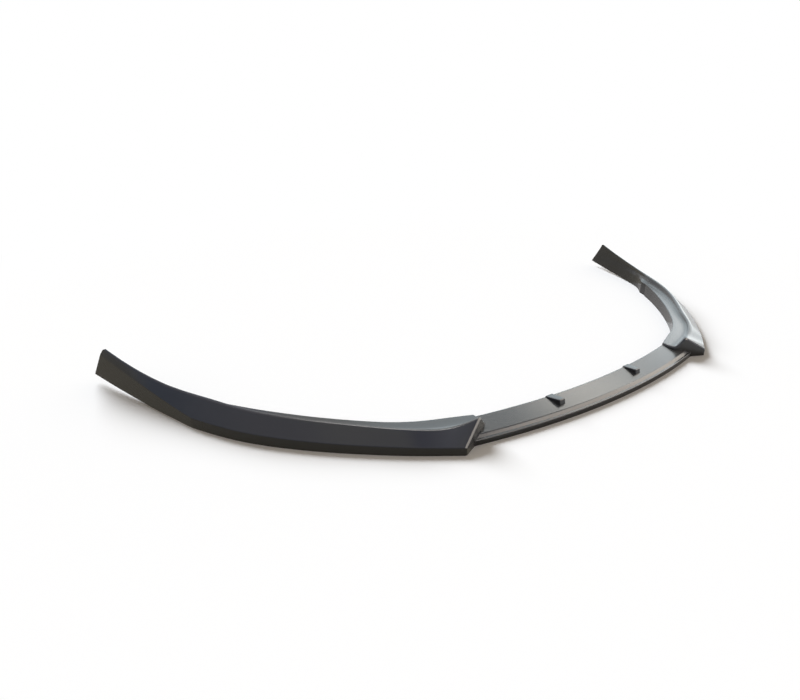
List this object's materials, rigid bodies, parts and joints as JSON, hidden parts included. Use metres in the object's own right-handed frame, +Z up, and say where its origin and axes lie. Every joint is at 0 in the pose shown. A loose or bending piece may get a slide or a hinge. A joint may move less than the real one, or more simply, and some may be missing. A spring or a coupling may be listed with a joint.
{
  "type": "front splitter lip",
  "caption": "Bowed front splitter lip in gloss black moulding: low centre blade with fins, swept corners with mounting flanges, and thin side wings that rise to raked tips.",
  "frame": {"origin": "middle of the part's bounding box, on the floor that the lip stands on", "axes": "+X across the car, -Y towards the car's front, +Z up; the part is symmetric about X = 0"},
  "size_m": [1.802, 0.7634, 0.0946],
  "materials": {
    "gloss_black": "gloss black, moulded and lacquered"
  },
  "bodies": {
    "root": {"splitter_lip": "gloss_black"}
  },
  "joints": []
}
